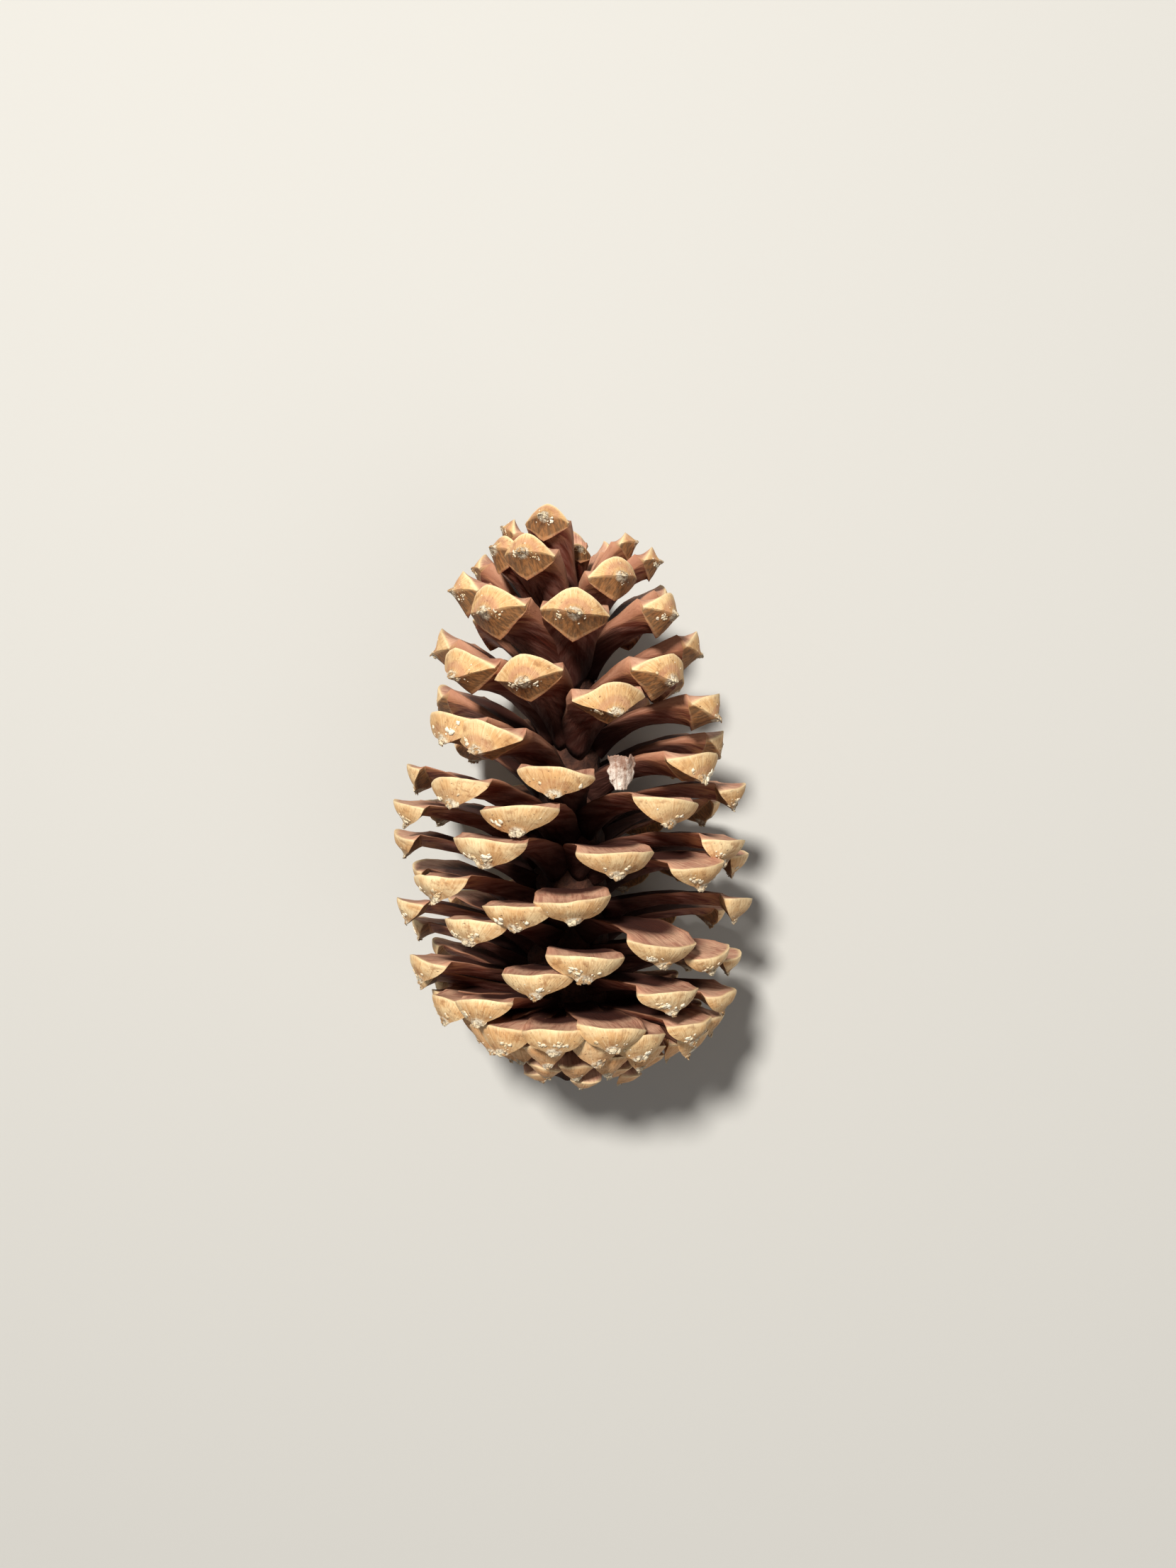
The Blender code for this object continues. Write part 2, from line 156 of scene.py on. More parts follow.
def scale_places():
    """One dictionary per scale, placed by the spiral with a little seeded unevenness."""
    uneven = Random(SEED)
    places = []
    for number in range(SCALES):
        height, reach, width, head, root = (smooth_read(STATIONS, number, c) for c in range(1, 6))
        drawn = (uneven.uniform(-1, 1) * AZIMUTH_SPREAD, uneven.uniform(-1, 1) * HEIGHT_SPREAD)
        aside, above = grown_aside(number, height, reach) if number in UMBO_SEEN_AT else drawn
        azimuth = FIRST_AZIMUTH + number * GOLDEN_ANGLE + aside
        width *= 1 + uneven.uniform(-1, 1) * WIDTH_SPREAD
        hang = hang_of(azimuth, reach)
        places.append(
            {
                "number": number,
                "azimuth": azimuth,
                "height": height + above - hang,
                "reach": reach,
                "width": width,
                "head": radians(head + GROWN_TILTED.get(number, 0)) - atan2(hang, reach),
                "root": radians(root) - atan2(hang, reach),
                "form": [smooth_read(FORMS, number, c) for c in range(1, 7)],
            }
        )
    return places


places = scale_places()

# How the cone lies, as its solids do: apex up a little, turned about its axis, and then moved so that the
# origin is under its middle.
APEX_UP = 1.5
ROLL = 5.0
TO_MIDDLE = Vector((-0.00044, -0.05017, 0.02798))
lay_down = (
    Matrix.Translation(TO_MIDDLE)
    @ Matrix.Rotation(radians(APEX_UP), 4, "X")
    @ Matrix.Rotation(radians(ROLL), 4, "Y")
)


class Link:
    """A socket of a shader tree. Sums of links and numbers add Math nodes."""

    def __init__(self, tree, socket=None):
        self.tree = tree
        self.socket = socket

    def node(self, kind, settings=None, inputs=None, output=0):
        """Any node: its type, its settings, which are set first, and the values or links of its sockets."""
        made = self.tree.nodes.new(kind)
        for name, value in (settings or {}).items():
            if name == "stops":
                ramp = made.color_ramp
                while len(ramp.elements) < len(value):
                    ramp.elements.new(1.0)
                for element, (position, colour) in zip(ramp.elements, value):
                    element.position = position
                    element.color = colour
            else:
                setattr(made, name, value)
        for name, value in (inputs or {}).items():
            if isinstance(value, Link):
                self.tree.links.new(value.socket, made.inputs[name])
            else:
                made.inputs[name].default_value = value
        return Link(self.tree, made.outputs[output])

    def math(self, operation, *values):
        return self.node("ShaderNodeMath", {"operation": operation}, dict(enumerate(values)))

    def __add__(self, other):
        return self.math("ADD", self, other)

    def __sub__(self, other):
        return self.math("SUBTRACT", self, other)

    def __rsub__(self, other):
        return self.math("SUBTRACT", other, self)

    def __mul__(self, other):
        return self.math("MULTIPLY", self, other)

    __radd__ = __add__
    __rmul__ = __mul__

    def between(self, low, high):
        """0 at low, 1 at high, smooth between them and level beyond; low may be above high."""
        settings = {"interpolation_type": "SMOOTHSTEP"}
        return self.node("ShaderNodeMapRange", settings, {"Value": self, "From Min": low, "From Max": high})

    def attribute(self, name):
        return self.node("ShaderNodeAttribute", {"attribute_name": name}, output="Vector")

    def split(self):
        """The three numbers of a vector."""
        return [self.node("ShaderNodeSeparateXYZ", None, {0: self}, output) for output in range(3)]

    def noise(self, vector, scale, detail=3.0, roughness=0.55):
        inputs = {"Vector": vector, "Scale": scale, "Detail": detail, "Roughness": roughness}
        return self.node("ShaderNodeTexNoise", None, inputs)

    def stretch(self, vector, by):
        return self.node("ShaderNodeVectorMath", {"operation": "MULTIPLY"}, {0: vector, 1: by})

    def mix(self, factor, one, other):
        """A colour between one, at factor 0, and other, at factor 1."""
        return self.node("ShaderNodeMix", {"data_type": "RGBA"}, {0: factor, 6: one, 7: other}, output=2)

    def bump(self, height, distance, strength=1.0, under=None):
        inputs = {"Height": height, "Distance": distance, "Strength": strength}
        if under:
            inputs["Normal"] = under
        return self.node("ShaderNodeBump", None, inputs)


def start_material(name, roughness, specular=0.3):
    """A new material, a link to grow its tree from, and its shader's sockets by name."""
    made = bpy.data.materials.new(name)
    made.use_nodes = True
    shader = made.node_tree.nodes["Principled BSDF"]
    shader.inputs["Roughness"].default_value = roughness
    shader.inputs["Specular IOR Level"].default_value = specular
    return made, Link(made.node_tree), shader.inputs


def wire(tree, target, link):
    tree.tree.links.new(link.socket, target)


def tone(red, green, blue):
    """A colour given as it looks on a screen, 0 to 255, as the shader needs it."""
    parts = (c / 255 for c in (red, green, blue))
    return (*(c / 12.92 if c <= 0.04045 else ((c + 0.055) / 1.055) ** 2.4 for c in parts), 1.0)


def keep_smooth(obj):
    """Shades a new piece smooth, links it and makes it ride on the cone."""
    bpy.context.scene.collection.objects.link(obj)
    for face in obj.data.polygons:
        face.use_smooth = True
    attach(obj, "root")


# The scales. Each is one flat woody blade that widens from its root to a thick wedge of a head, the part
# that was outside while the cone was shut: a bowed upper rim, a face that slopes in to the umbo, the
# oldest tip of the scale, and a lower facet that runs back to the blade. They are lofted from their rims.
BLADE_ROWS = 14
SAMPLES_A_ROW = 2
HEAD_ROWS = 6
FACE_STEPS = (0.04, 0.12, 0.25, 0.4, 0.55, 0.7, 0.83, 0.93, 1.0)
COLUMNS = 23
# Numbers of the scales at which heads begin to be knobs of the crown, and at which they cease to be heads
# of the closed base; each change takes the same count of scales.
CROWN_FROM = 98
CLOSED_BELOW = 46
CHANGE_OVER = 16
# The blade: sizes in metres on a head as wide as HEAD_WIDTH, widths as shares of the head's, and the
# exponents of its curves.
HEAD_LENGTH = 0.0052
CORNER_BACK = 0.0043
NECK_SHARE = 0.94
ROOT_WIDTH = 0.50
BLADE_TAPER = 1.3
BLADE_SWELL = 0.05
BLADE_SWELLS = 9
ROOT_DROP = 0.0022
ROOT_RADIUS = ((0.0, 0.0050), (0.0130, 0.0062), (0.0330, 0.0048), (0.0600, 0.0038), (0.0880, 0.0014))
ROOT_UNDER_NECK = 0.006
SHORTEST_BLADE = 0.003
EDGE_RISE = 0.0005
EDGE_THICKNESS = 0.0002
EDGE_ROUNDING = 8
BLADE_UNDER = 0.0013
UNDER_CREST = 1.2
UNDER_ROUNDER = 0.5
SIDE_FADE = 1.5
SIDE_CREST = 1.3
STEEPEST = radians(80)
# The head: the exponents of its curves, by which the forms of base, middle and crown differ, the turn of
# its face and the small reliefs on it in metres.
RIM_BOW = (1.8, 0.56)
RIM_GABLE = 2.2
CROWN_GABLE = 0.9
KEEL_BOW = 2.4
ROUND_KEEL = (2, 0.62)
SHARP_KEEL = (1.5, 0.9)
CROWN_KEEL = 0.25
CLOSED_KEEL = 0.2
LIP = 0.00018
LIP_CREST = 6
FACE_TURN = radians(35)
FACE_BULGE = 0.00045
LEAST_BULGE = 0.00015
BULGE_AT = 0.8
RIDGE_HEIGHT = 0.0007
RIDGE_AT = 0.9
UMBO_HEIGHT = 0.0008
UMBO_WIDTH = 0.0013
UMBO_DEPTH = 0.0007
UMBO_ON_RIM = 0.3
# How the umbo points, out and down, and how much that changes towards the crown.
UMBO_OUT = (0.55, 0.3)
UMBO_DOWN = (0.8, 0.6)
# Unevenness of each scale: sides, rim, keel and twist, and lumps as pairs of how many a metre and how high.
SIDE_SPREAD = 0.03
RIM_WAVES = 3
RIM_WAVE = 0.00012
WAVE_SHARE = 0.8
RIM_LEAN = 0.0004
KEEL_SHIFT = 0.08
HEAD_TWIST = 7.0
TWIST_RISE = 1.5
LUMPS = ((260, 0.00026), (900, 0.00007))
LUMP_STEP = 3.7
# What the finish reads: steps that give each scale its own grain, and how far the marks of side, rim and
# umbo spread.
SPOT_STEP = 0.013
FAN_STEP = 0.31
FAN_START = 0.0012
SIDE_EDGE = 12
RIM_MARK = 0.0004
UMBO_MARK = 0.00135
SCALE_PIECES = ((0, 34), (34, 64), (64, 92), (92, 120), (120, 148))

columns = np.sin(np.linspace(-pi / 2, pi / 2, COLUMNS))
off_middle = np.abs(columns)


def root_radius(height):
    return float(np.interp(height, *zip(*ROOT_RADIUS)))


def waves(draw, count, size):
    """A gentle random wave along the columns."""
    total = np.zeros(COLUMNS)
    for k in range(1, count + 1):
        height = size / k * draw.uniform(-1, 1)
        total += height * np.sin(k * pi * columns * WAVE_SHARE + draw.uniform(0, 2 * pi))
    return total


def scale_grid(place):
    """Rows of points round one scale: along its top from root to rim, down the face, back under the blade.
    Gives the points as they are at azimuth 0, for each the values that the finish reads, the rows at which
    the rim, the keel and the underside of the blade are, and the turn to the scale's azimuth."""
    draw = Random(SEED * 1000 + place["number"])
    size = place["width"] / HEAD_WIDTH
    half = place["width"] / 2
    head = place["head"]
    out = np.array((cos(head), sin(head)))
    up = np.array((-sin(head), cos(head)))
    umbo_back, umbo_drop, neck_back, neck_drop, corner_drop, side_depth = (v * size for v in place["form"])
    rim_spot = np.array((place["reach"], place["height"])) + out * umbo_back + up * umbo_drop
    crown = min(1.0, max(0.0, (place["number"] - CROWN_FROM) / CHANGE_OVER))
    closed = min(1.0, max(0.0, (CLOSED_BELOW - place["number"]) / CHANGE_OVER))

    # Centre line of the blade, from the neck back into the axis.
    neck = rim_spot - out * HEAD_LENGTH * size
    inner = min(root_radius(max(0.0, neck[1] - ROOT_UNDER_NECK)), neck[0] - SHORTEST_BLADE)
    line = [neck]
    angles = [head]
    samples = BLADE_ROWS * SAMPLES_A_ROW
    for k in range(samples):
        angle = head + (place["root"] - head) * (k + 0.5) / samples
        step = (neck[0] - inner) / samples
        line.append(line[-1] - np.array((step, step * tan(min(angle, STEEPEST)))))
        angles.append(head + (place["root"] - head) * (k + 1) / samples)

    rounding = np.sqrt(1 - off_middle ** EDGE_ROUNDING)
    mid = EDGE_RISE * size * off_middle ** 2
    sides = columns * (1 + SIDE_SPREAD * draw.uniform(-1, 1) * np.sign(columns))

    def blade_row(k, top):
        share = k / BLADE_ROWS
        centre = line[SAMPLES_A_ROW * k]
        angle = angles[SAMPLES_A_ROW * k]
        rise = np.array((-sin(angle), cos(angle)))
        wide = half * (NECK_SHARE + (ROOT_WIDTH - NECK_SHARE) * share ** BLADE_TAPER)
        wide *= 1 + BLADE_SWELL * sin(share * BLADE_SWELLS + place["number"]) * share * (1 - share) * 4
        if top:
            offset = mid + EDGE_THICKNESS * rounding
        else:
            under = BLADE_UNDER + (neck_drop - BLADE_UNDER) * (1 - share) ** 3 + ROOT_DROP * size * share ** 4
            crest = 1 - off_middle ** (UNDER_CREST + UNDER_ROUNDER * share)
            offset = mid - EDGE_THICKNESS * rounding - under * crest
            offset -= side_depth * (1 - share) ** SIDE_FADE * off_middle ** SIDE_CREST
        return np.stack((centre[0] + rise[0] * offset, sides * wide, centre[1] + rise[1] * offset), 1)

    def head_row(back, drop, side):
        spot = rim_spot[:, None] - out[:, None] * back - up[:, None] * drop
        return np.stack((spot[0], side, spot[1]), 1)

    # The rim bows in plan; its corners lie lower. The keel runs from corner to corner through the umbo.
    lean = draw.uniform(-1, 1) * RIM_LEAN * size
    gable = RIM_GABLE - CROWN_GABLE * crown
    round_rim = 1 - (1 - off_middle ** RIM_BOW[0]) ** RIM_BOW[1]
    rim_back = CORNER_BACK * size * (round_rim * (1 - crown) + off_middle ** 2 * crown)
    unevenness = waves(draw, RIM_WAVES, RIM_WAVE) * (1 - off_middle ** 4)
    rim_drop = corner_drop * off_middle ** gable + unevenness + lean * columns
    rim = head_row(rim_back, rim_drop, sides * half)
    shift = draw.uniform(-1, 1) * KEEL_SHIFT
    skew = np.clip(np.abs(columns - shift * (1 - off_middle)), 0, 1)
    round_keel = (1 - skew ** ROUND_KEEL[0]) ** ROUND_KEEL[1]
    sharp_keel = (1 - skew ** (SHARP_KEEL[0] - CROWN_KEEL * crown + CLOSED_KEEL * closed)) ** SHARP_KEEL[1]
    sharp = max(crown, closed)
    keel_shape = round_keel * (1 - sharp) + sharp_keel * sharp
    keel_back = umbo_back + (CORNER_BACK * size - umbo_back) * off_middle ** KEEL_BOW
    keel_drop = corner_drop + (umbo_drop - corner_drop) * keel_shape + lean * columns * (1 - keel_shape)
    keel = head_row(keel_back, keel_drop, sides * half)

    neck_top = blade_row(0, True)
    neck_low = blade_row(0, False)
    neck_low[:, [0, 2]] -= out[None, :] * ((neck_back - HEAD_LENGTH * size) * (1 - off_middle))[:, None]

    rows = [blade_row(k, True) for k in range(BLADE_ROWS, -1, -1)]
    tops = len(rows)
    for i in range(1, HEAD_ROWS + 1):
        t = i / HEAD_ROWS
        row = neck_top + (rim - neck_top) * t
        lift = LIP * size * t ** LIP_CREST * (1 - off_middle ** LIP_CREST)
        row[:, [0, 2]] += up[None, :] * lift[:, None]
        rows.append(row)
    rim_at = len(rows) - 1
    rim = rows[-1]
    outward = out * cos(FACE_TURN) - up * sin(FACE_TURN)
    bulge = (FACE_BULGE * (1 - crown) * (1 - closed) + LEAST_BULGE) * size
    for t in FACE_STEPS:
        row = rim + (keel - rim) * t
        lift = bulge * sin(pi * t ** BULGE_AT) * (1 - off_middle ** 2)
        lift += closed * RIDGE_HEIGHT * size * sin(pi * t ** RIDGE_AT) * (1 - off_middle)
        row[:, [0, 2]] += outward[None, :] * lift[:, None]
        rows.append(row)
    keel_at = len(rows) - 1
    for i in range(HEAD_ROWS - 1, -1, -1):
        t = i / HEAD_ROWS
        rows.append(neck_low + (keel - neck_low) * t)
    low_at = len(rows) - 1
    rows += [blade_row(k, False) for k in range(1, BLADE_ROWS + 1)]
    grid = np.array(rows)

    # The umbo stands out of the keel as a small rough boss that hangs down a little.
    umbo = grid[keel_at, COLUMNS // 2].copy()
    gap = np.linalg.norm(grid - umbo, axis=2)
    aside = (grid[:, :, 1] - umbo[1]) / (UMBO_WIDTH * size ** 0.5)
    away = np.hypot(grid[:, :, 0] - umbo[0], grid[:, :, 2] - umbo[2]) / (UMBO_DEPTH * size ** 0.5)
    boss = np.exp(-(aside ** 4) - away ** 2)
    boss[:rim_at] = 0
    boss[rim_at] *= UMBO_ON_RIM
    knob = out * (UMBO_OUT[0] + UMBO_OUT[1] * crown) - up * UMBO_DOWN[0] * (1 - UMBO_DOWN[1] * crown)
    grid[:, :, 0] += knob[0] * UMBO_HEIGHT * size * boss
    grid[:, :, 2] += knob[1] * UMBO_HEIGHT * size * boss

    # Small unevenness all over, and a twist of the whole scale that grows towards the head.
    flat = grid.reshape(-1, 3)
    seat = Vector((place["number"] * LUMP_STEP, 0, 0))
    for k, spot in enumerate(flat):
        spot_on = Vector(spot)
        for often, high in LUMPS:
            flat[k] += noise.noise_vector(spot_on * often + seat) * high
    grid = flat.reshape(grid.shape)
    twist = radians(draw.uniform(-1, 1) * HEAD_TWIST)
    strength = np.clip((grid[:, :, 0] - inner) / (rim_spot[0] - inner), 0, 1) ** TWIST_RISE
    turn = twist * strength
    height = grid[:, :, 2] - neck[1]
    side = grid[:, :, 1].copy()
    grid[:, :, 1] = side * np.cos(turn) - height * np.sin(turn)
    grid[:, :, 2] = neck[1] + side * np.sin(turn) + height * np.cos(turn)
    # The two sides of a thin edge are one row of points.
    last = len(rows) - 1
    for r in range(keel_at, last + 1):
        for c in (0, COLUMNS - 1):
            grid[r, c] = grid[min(rim_at, last - r), c]
    for r in range(rim_at, keel_at + 1):
        for c in (0, COLUMNS - 1):
            grid[r, c] = grid[rim_at, c]

    # Values for the finish.
    shape = grid.shape[:2]
    index = np.arange(shape[0])[:, None] * np.ones(shape[1])[None, :]
    along = np.zeros(shape)
    steps = np.linalg.norm(np.diff(grid, axis=0), axis=2)
    along[1:] = np.cumsum(steps, axis=0)
    along -= along[rim_at]
    whole = np.ones(shape)
    top_share = np.where(index < tops, 1 - index / (tops - 1), 0)
    low_share = np.where(index > low_at, (index - low_at) / BLADE_ROWS, 0)
    values = {
        "spot": (grid[:, :, 1], along, whole * place["number"] * SPOT_STEP),
        "fan": (
            np.arctan2(grid[:, :, 1] - umbo[1], np.abs(along - along[keel_at]) + FAN_START),
            gap,
            whole * place["number"] * FAN_STEP,
        ),
        "part": ((index >= rim_at) & (index < low_at), (index > keel_at) & (index < low_at), index < rim_at),
        "kind": (crown * whole, closed * whole, draw.random() * whole),
        "reach": (np.where(index <= rim_at, -along, 0), gap, top_share + low_share),
        "mark": (
            off_middle ** SIDE_EDGE * whole,
            np.exp(-((along / RIM_MARK) ** 2)),
            np.exp(-((gap / (UMBO_MARK * size ** 0.5)) ** 2)) * (index >= rim_at),
        ),
    }
    for name, three in values.items():
        values[name] = np.stack([np.asarray(v, dtype=float) for v in three], 2)
    # Rows that stay crisp have a number of their own, and all others have 0.
    values["ridge"] = (index == rim_at) * 1.0 + (index == keel_at) * 2.0 + (index == low_at) * 3.0
    marks = {"rim_at": rim_at, "keel_at": keel_at, "low_at": low_at}
    # Sideways is +X, along the axis is +Y and out is +Z before the scale is turned to its azimuth.
    turned = Matrix.Rotation(radians(place["azimuth"]), 4, "Y")
    return grid[:, :, [1, 2, 0]], values, marks, turned


def grid_faces(rows, rim_at, keel_at):
    """Faces of one scale; points of the two edge columns count once, on the top."""
    last = rows - 1

    def at(r, c):
        if c in (0, COLUMNS - 1):
            if rim_at <= r <= keel_at:
                r = rim_at
            elif r > keel_at:
                r = last - r
        return r * COLUMNS + c

    faces = []
    for r in range(rows):
        n = (r + 1) % rows
        for c in range(COLUMNS - 1):
            corners = []
            for spot in (at(r, c), at(r, c + 1), at(n, c + 1), at(n, c)):
                if spot not in corners:
                    corners.append(spot)
            if len(corners) > 2:
                faces.append(tuple(corners))
    return faces


scale_wood, t, shader = start_material("scale_wood", 0.68)
spot = t.attribute("spot")
fan = t.attribute("fan")
face, lower, top = t.attribute("part").split()
crown, closed, own = t.attribute("kind").split()
behind, near, rootward = t.attribute("reach").split()
edge, rimward, umbo = t.attribute("mark").split()

# The face: cream and straw towards the rim, darkened to tan round the umbo by painted shade where the
# face curves in, with fine lines that run out from the umbo, brown specks and blotches. Browner on the
# closed base, more orange near the apex.
clouds = t.noise(spot, 300.0, 4.0)
lines = t.noise(t.stretch(fan, (18.0, 260.0, 9.0)), 1.0, 5.0, 0.65)
grain = t.noise(t.stretch(spot, (2600.0, 800.0, 100.0)), 1.0, 4.0, 0.6)
specks = t.noise(spot, 2300.0, 2.0).between(0.66, 0.74)
blotches = t.noise(spot, 560.0, 3.0, 0.6).between(0.54, 0.70)
straw = t.mix(clouds.between(0.36, 0.66), tone(240, 214, 168), tone(214, 168, 116))
straw = t.mix(own * 0.5, straw, tone(214, 170, 114))
# Painted shade: the face darkens to tan towards the umbo, where it curves in and down away from the light.
straw = t.mix(near.between(0.0038, 0.0012) * 0.65, straw, tone(164, 124, 84))
straw = t.mix(crown * 0.5, straw, tone(208, 160, 102))
straw = t.mix(closed * 0.65, straw, tone(222, 162, 108))
straw = t.mix(grain.between(0.50, 0.66) * 0.40, straw, tone(178, 122, 74))
straw = t.mix(lines.between(0.52, 0.68) * 0.42, straw, tone(150, 98, 56))
straw = t.mix(lines.between(0.47, 0.36) * 0.35, straw, tone(246, 224, 182))
straw = t.mix(blotches * 0.6, straw, tone(150, 98, 56))
smudges = t.noise(spot, 1150.0, 5.0, 0.75).between(0.52, 0.66)
straw = t.mix(smudges * near.between(0.0050, 0.0015) * 0.55, straw, tone(140, 94, 58))
straw = t.mix(specks * 0.8, straw, tone(92, 54, 30))
# Painted shade: the lower facet of every head but the closed ones is painted dark brown, with grain, as the
# shade under the face.
shaded = t.mix(grain.between(0.40, 0.62), tone(84, 48, 26), tone(150, 98, 56))
straw = t.mix(lower * (1.0 - closed) * 0.85, straw, shaded)
ring = near.between(0.0032, 0.0024) * near.between(0.0013, 0.0021)
straw = t.mix(ring * crown * (1.0 - lower) * 0.5, straw, tone(184, 130, 104))
crust = t.noise(spot, 1700.0, 5.0, 0.7)
crust_colour = t.mix(crust.between(0.34, 0.62), tone(126, 96, 68), tone(230, 218, 194))
straw = t.mix(umbo.between(0.25, 0.60) * crust.between(0.28, 0.46), straw, crust_colour)

# The blade: saturated red-brown below with a faint mauve bloom and darker veins, lighter beside the head;
# above it is pinkish tan behind the rim, and further in dark maroon, its own colour deepened by painted
# shade where it lies between the scales. It darkens to near black at the root, dark wood with painted shade.
bloom = t.noise(spot, 380.0, 4.0, 0.6)
streaks = t.noise(t.stretch(spot, (1700.0, 170.0, 100.0)), 1.0, 4.0, 0.6)
under = t.mix(bloom.between(0.35, 0.68), tone(102, 41, 25), tone(150, 100, 86))
under = t.mix(streaks.between(0.50, 0.68) * 0.6, under, tone(62, 22, 12))
patch = rootward.between(0.26, 0.02) * bloom.between(0.38, 0.60)
under = t.mix(patch * 0.6, under, tone(176, 118, 70))
over = t.mix(streaks.between(0.38, 0.66), tone(200, 152, 126), tone(162, 110, 90))
over = t.mix(bloom.between(0.44, 0.62) * 0.5, over, tone(216, 176, 146))
# Painted shade over dark wood: the top of the blade turns dark maroon a few millimetres behind the rim.
over = t.mix((behind + bloom * 0.0030).between(0.0050, 0.0085), over, tone(66, 32, 23))
blade = t.mix(top, under, over)
# Painted shade over dark wood: the blade darkens to near black towards the root, deep inside the cone.
blade = t.mix(rootward.between(0.28, 0.90) * 0.85, blade, tone(36, 11, 6))
blade = t.mix(edge * rootward.between(0.9, 0.2) * 0.6, blade, tone(170, 116, 86))
wood = t.mix(face, blade, straw)
wood = t.mix(rimward * 0.6, wood, tone(246, 224, 180))
wire(t, shader["Base Color"], wood)
relief = lines * 0.4 + grain * 0.4 + streaks * (1.0 - face) * 0.9
wire(t, shader["Normal"], t.bump(relief, 0.00024, 0.9, t.bump(crust * umbo, 0.0006, 0.9)))

places_of_resin = []
for start, end in SCALE_PIECES:
    points, faces = [], []
    columns_of = {}
    for place in places[start:end]:
        grid, values, marks, turned = scale_grid(place)
        first = len(points)
        whole = lay_down @ turned
        turn = np.array(whole.to_3x3())
        moved = grid.reshape(-1, 3) @ turn.T + np.array(whole.translation)
        moved[:, 2] = np.maximum(moved[:, 2], 0)
        points += moved.tolist()
        new_faces = grid_faces(grid.shape[0], marks["rim_at"], marks["keel_at"])
        faces += [tuple(first + k for k in f) for f in new_faces]
        for name, array in values.items():
            columns_of.setdefault(name, []).append(array.reshape(len(moved), -1))
        places_of_resin.append((place, moved.reshape(grid.shape), marks))
    mesh = bpy.data.meshes.new(f"scales_{start}_to_{end - 1}")
    mesh.from_pydata(points, [], faces)
    for name, arrays in columns_of.items():
        whole = np.concatenate(arrays)
        kind = "FLOAT_VECTOR" if whole.shape[1] == 3 else "FLOAT"
        layer = mesh.attributes.new(name, kind, "POINT")
        layer.data.foreach_set("vector" if whole.shape[1] == 3 else "value", whole.astype(np.float32).ravel())
    # The points of the edge columns that no face uses are taken away.
    trimmed = bmesh.new()
    trimmed.from_mesh(mesh)
    bmesh.ops.delete(trimmed, geom=[v for v in trimmed.verts if not v.link_faces], context="VERTS")
    bmesh.ops.recalc_face_normals(trimmed, faces=trimmed.faces)
    trimmed.to_mesh(mesh)
    trimmed.free()
    mesh.materials.append(scale_wood)
    # Rim, keel and the line under the head where it meets the blade stay crisp.
    ridge = np.zeros(len(mesh.vertices), dtype=np.float32)
    mesh.attributes["ridge"].data.foreach_get("value", ridge)
    ends = np.zeros(len(mesh.edges) * 2, dtype=np.int32)
    mesh.edges.foreach_get("vertices", ends)
    ends = ridge[ends.reshape(-1, 2)]
    mesh.edges.foreach_set("use_edge_sharp", (ends[:, 0] > 0) & (ends[:, 0] == ends[:, 1]))
    scales = bpy.data.objects.new(mesh.name, mesh)
    keep_smooth(scales)
    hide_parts("pine_cone")


# Dried resin: hard off-white beads, crumbs and crusts that bled out of the wood while the cone opened.
# They sit in clusters on the faces, under the keel of the knobs near the apex, and crust every umbo.
BEAD_RADIUS = 0.00030
LEAST_BEAD = 0.5
BEAD_SPREAD = 1.2
BEAD_SQUASH = 0.42
BEAD_SINK = 0.2
BEAD_LONG = (0.8, 1.3)
BEAD_WIDE = (0.8, 1.1)
# A lump's unevenness, as pairs of how fine and how strong.
BEAD_LUMPS = ((1.5, 0.7), (4.0, 0.5))
# A cluster on each side of the umbo: its middle, across from -1 to 1 and down from rim to keel, and the
# most beads in it. Then how far it can be from there, how far its beads spread, how often there is none,
# and the first scale that has any.
CLUSTERS = (((-0.36, 0.70), 20), ((0.28, 0.72), 14))
CLUSTER_ACROSS = (-0.1, 0.1)
CLUSTER_DOWN = (-0.1, 0.08)
CLUSTER_SIZE = 0.09
NO_CLUSTER = 0.2
FIRST_WITH_CLUSTER = 40
# On the knobs past this scale, clusters lie lower and beads are smaller.
LAST_WITHOUT_KNOB = 112
KNOB_LOWER = 0.55
KNOB_BEADS = 0.7
LOWEST_BEAD = 1.6
# Loose crumbs anywhere on a face, and the lumps of the crust on an umbo, by where and how large they are.
MOST_CRUMBS = 3
CRUMB_ACROSS = (-0.7, 0.7)
CRUMB_DOWN = (0.3, 0.95)
CRUMB_SHARE = (0.3, 0.6)
CRUST_LUMPS = 9
CRUST_RADIUS = 0.00034
CRUST_ACROSS = (0, 0.10)
CRUST_DOWN = (-0.04, 0.07)
CRUST_SHARE = (0.5, 1.25)

pearl = bmesh.new()
bmesh.ops.create_icosphere(pearl, subdivisions=2, radius=1.0)
pearl_points = [v.co.copy() for v in pearl.verts]
pearl_faces = [[v.index for v in f.verts] for f in pearl.faces]
pearl.free()


def on_scale(moved, marks, across, down):
    """Spot and outward direction on a head: across -1 to 1, down 0 at the rim, 1 at the keel, 2 under it."""
    column = (np.arcsin(np.clip(across, -0.97, 0.97)) / pi + 0.5) * (COLUMNS - 1)
    if down <= 1:
        row = marks["rim_at"] + float(np.interp(down, (0, *FACE_STEPS), range(len(FACE_STEPS) + 1)))
    else:
        row = marks["keel_at"] + (down - 1) * (marks["low_at"] - marks["keel_at"])
    r = min(int(row), marks["low_at"] - 1)
    c = min(int(column), COLUMNS - 2)
    a, b = row - r, column - c
    near_row = moved[r, c] * (1 - b) + moved[r, c + 1] * b
    next_row = moved[r + 1, c] * (1 - b) + moved[r + 1, c + 1] * b
    sideways = moved[r, c + 1] - moved[r, c]
    outward = Vector(np.cross(next_row - near_row, sideways)).normalized()
    return Vector(near_row * (1 - a) + next_row * a), outward


